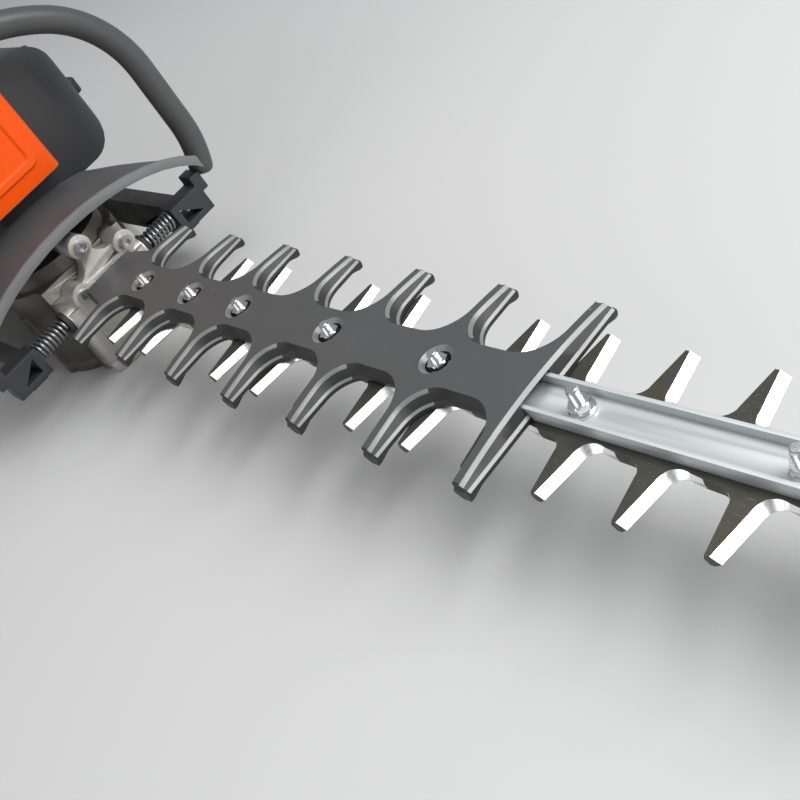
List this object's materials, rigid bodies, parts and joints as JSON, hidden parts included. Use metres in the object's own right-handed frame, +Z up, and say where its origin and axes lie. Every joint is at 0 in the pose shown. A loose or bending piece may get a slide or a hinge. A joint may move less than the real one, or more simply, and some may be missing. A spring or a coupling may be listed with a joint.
{
  "type": "hedge trimmer",
  "caption": "Engine hedge trimmer with double-sided reciprocating blades, a tined tooth guard, a guarded loop front handle and a closed rear grip with throttle trigger.",
  "frame": {"origin": "centre of the flat sole that the trimmer stands on, on the cutter's centreline", "axes": "+X along the blades towards their tip, +Y to the operator's left, +Z up"},
  "size_m": [1.005, 0.214, 0.2028],
  "materials": {
    "blade_steel": "dark phosphated steel with bright ground edges",
    "bar_aluminium": "extruded, pale, faint long draw lines",
    "zinc": "bright zinc plate",
    "plain_steel": "machined and oiled",
    "bearing_steel": "ground and polished",
    "guard_plastic": "smooth dark grey moulding, satin",
    "cast_alloy": "bead-blasted warm grey die casting",
    "black_screw": "black oxide",
    "engine_alloy": "cast, slightly dull",
    "piston_alloy": "turned",
    "shoe_iron": "sintered, dark",
    "ceramic": "glazed white with plated hexagon",
    "black_rubber": "matt black",
    "black_plastic": "fine-textured black moulding",
    "spring_steel": "drawn spring wire",
    "housing_plastic": "dark grey moulding, fine texture",
    "handle_plastic": "dark grey, satin",
    "shield_plastic": "mid grey, satin",
    "heat_steel": "heat-stained pressed steel",
    "lever_brass": "plated lever",
    "filter_foam": "oiled foam",
    "orange_plastic": "bright orange moulding, semi-gloss",
    "tank_plastic": "translucent grey-white moulding",
    "bulb_rubber": "red rubber",
    "switch_red": "red moulding"
  },
  "bodies": {
    "machine": {"guide_channel": "bar_aluminium", "tooth_guard": "guard_plastic", "guide_bolts": "zinc", "guide_nuts": "zinc", "guide_bushes": "plain_steel", "guide_washers": "plain_steel", "gearbox_housing": "cast_alloy", "gearbox_cover": "cast_alloy", "gearbox_screws": "black_screw", "crank_bearings": "bearing_steel", "drum_bearing": "bearing_steel", "crankcase": "cast_alloy", "shaft_bearings": "bearing_steel", "engine_cylinder": "engine_alloy", "spark_plug": "ceramic", "plug_cap": "black_rubber", "ignition_module": "black_plastic", "recoil_spring": "spring_steel", "fan_housing": "housing_plastic", "starter_grip": "black_plastic", "muffler": "heat_steel", "intake_block": "black_rubber", "carburettor": "engine_alloy", "air_filter": "filter_foam", "filter_cover": "housing_plastic", "engine_cover": "orange_plastic", "cover_screws": "black_screw", "fuel_tank": "tank_plastic", "filter_base": "black_plastic", "front_handle": "handle_plastic", "hand_guard": "shield_plastic", "side_frame": "housing_plastic", "av_springs": "spring_steel", "av_cups": "black_rubber", "rear_handle_left": "housing_plastic", "rear_handle_right": "housing_plastic", "handle_pins": "plain_steel", "handle_screws": "black_screw", "throttle_cable": "black_rubber"},
    "upper_blade": {"blade_upper": "blade_steel"},
    "lower_blade": {"blade_lower": "blade_steel"},
    "crank": {"crank_gear": "plain_steel"},
    "drum": {"clutch_drum": "plain_steel"},
    "engine_shaft": {"crankshaft": "plain_steel", "flywheel": "engine_alloy", "clutch_hub": "plain_steel"},
    "shoe_left": {"clutch_shoe_left": "shoe_iron"},
    "shoe_right": {"clutch_shoe_right": "shoe_iron"},
    "piston_body": {"piston": "piston_alloy"},
    "starter_reel": {"starter_pulley": "black_plastic"},
    "trigger": {"throttle_trigger": "black_plastic"},
    "lockout": {"throttle_lockout": "black_plastic"},
    "carb_throttle": {"throttle_lever": "lever_brass"},
    "choke": {"choke_lever": "black_plastic"},
    "knob": {"filter_knob": "black_plastic"},
    "cap": {"fuel_cap": "black_plastic"},
    "bulb": {"primer_bulb": "bulb_rubber"},
    "switch": {"stop_switch": "switch_red"}
  },
  "joints": [
    {"name": "crank_turn", "type": "hinge", "parent": "machine", "child": "crank", "pos_m": [0.044, 0, 0.05], "axis": [0, 0, 1], "range_deg": [0, 180]},
    {"name": "upper_stroke", "type": "slide", "parent": "machine", "child": "upper_blade", "axis": [1, 0, 0], "range_m": [-0.0175, 0]},
    {"name": "lower_stroke", "type": "slide", "parent": "machine", "child": "lower_blade", "axis": [1, 0, 0], "range_m": [0, 0.0175]},
    {"name": "drum_turn", "type": "hinge", "parent": "machine", "child": "drum", "pos_m": [0.00941, 0.02247, 0.06], "axis": [0, 0, 1], "range_deg": [-810, 0]},
    {"name": "engine_turn", "type": "hinge", "parent": "machine", "child": "engine_shaft", "pos_m": [0.00941, 0.02247, 0.1], "axis": [0, 0, 1], "continuous": true},
    {"name": "shoe_left_throw", "type": "slide", "parent": "engine_shaft", "child": "shoe_left", "axis": [0, 1, 0], "range_m": [0, 0.0008], "stiffness_N_per_m": 2000, "springref_m": -0.0005},
    {"name": "shoe_right_throw", "type": "slide", "parent": "engine_shaft", "child": "shoe_right", "axis": [0, -1, 0], "range_m": [0, 0.0008], "stiffness_N_per_m": 2000, "springref_m": -0.0005},
    {"name": "piston_stroke", "type": "slide", "parent": "machine", "child": "piston_body", "axis": [1, 0, 0], "range_m": [0, 0.028]},
    {"name": "starter_turn", "type": "hinge", "parent": "machine", "child": "starter_reel", "pos_m": [0.00941, 0.02247, 0.145], "axis": [0, 0, 1], "range_deg": [0, 1800], "stiffness_Nm_per_rad": 0.004},
    {"name": "trigger_squeeze", "type": "hinge", "parent": "machine", "child": "trigger", "pos_m": [-0.168, 0, 0.102], "axis": [0, 1, 0], "range_deg": [0, 14], "stiffness_Nm_per_rad": 0.6, "springref_deg": -8.59},
    {"name": "lockout_press", "type": "hinge", "parent": "machine", "child": "lockout", "pos_m": [-0.212, 0, 0.117], "axis": [0, 1, 0], "range_deg": [-8, 0], "stiffness_Nm_per_rad": 0.5, "springref_deg": 8.59},
    {"name": "carb_throttle_turn", "type": "hinge", "parent": "machine", "child": "carb_throttle", "pos_m": [-0.052, 0.06997, 0.122], "axis": [0, 0, 1], "range_deg": [0, 60]},
    {"name": "choke_swing", "type": "hinge", "parent": "machine", "child": "choke", "pos_m": [-0.08, 0.08197, 0.094], "axis": [0, 1, 0], "range_deg": [-60, 0]},
    {"name": "filter_knob_turn", "type": "hinge", "parent": "machine", "child": "knob", "pos_m": [-0.072, 0.08197, 0.126], "axis": [0, 1, 0], "continuous": true},
    {"name": "fuel_cap_turn", "type": "hinge", "parent": "machine", "child": "cap", "pos_m": [-0.098, 0.08, 0.04], "axis": [0, 1, 0], "continuous": true},
    {"name": "primer_press", "type": "slide", "parent": "machine", "child": "bulb", "axis": [0, -1, 0], "range_m": [0, 0.004], "stiffness_N_per_m": 400, "springref_m": -0.002},
    {"name": "stop_switch_turn", "type": "hinge", "parent": "machine", "child": "switch", "pos_m": [-0.15, 0.018, 0.112], "axis": [0, 1, 0], "range_deg": [0, 40]}
  ],
  "couplings": [
    {"joint": "upper_stroke", "follows": "crank_turn", "m_per_rad": -0.0055704},
    {"joint": "lower_stroke", "follows": "crank_turn", "m_per_rad": 0.0055704},
    {"joint": "drum_turn", "follows": "crank_turn", "ratio": -4.5},
    {"joint": "shoe_right_throw", "follows": "shoe_left_throw", "ratio": 1},
    {"joint": "carb_throttle_turn", "follows": "trigger_squeeze", "ratio": 4.28}
  ]
}
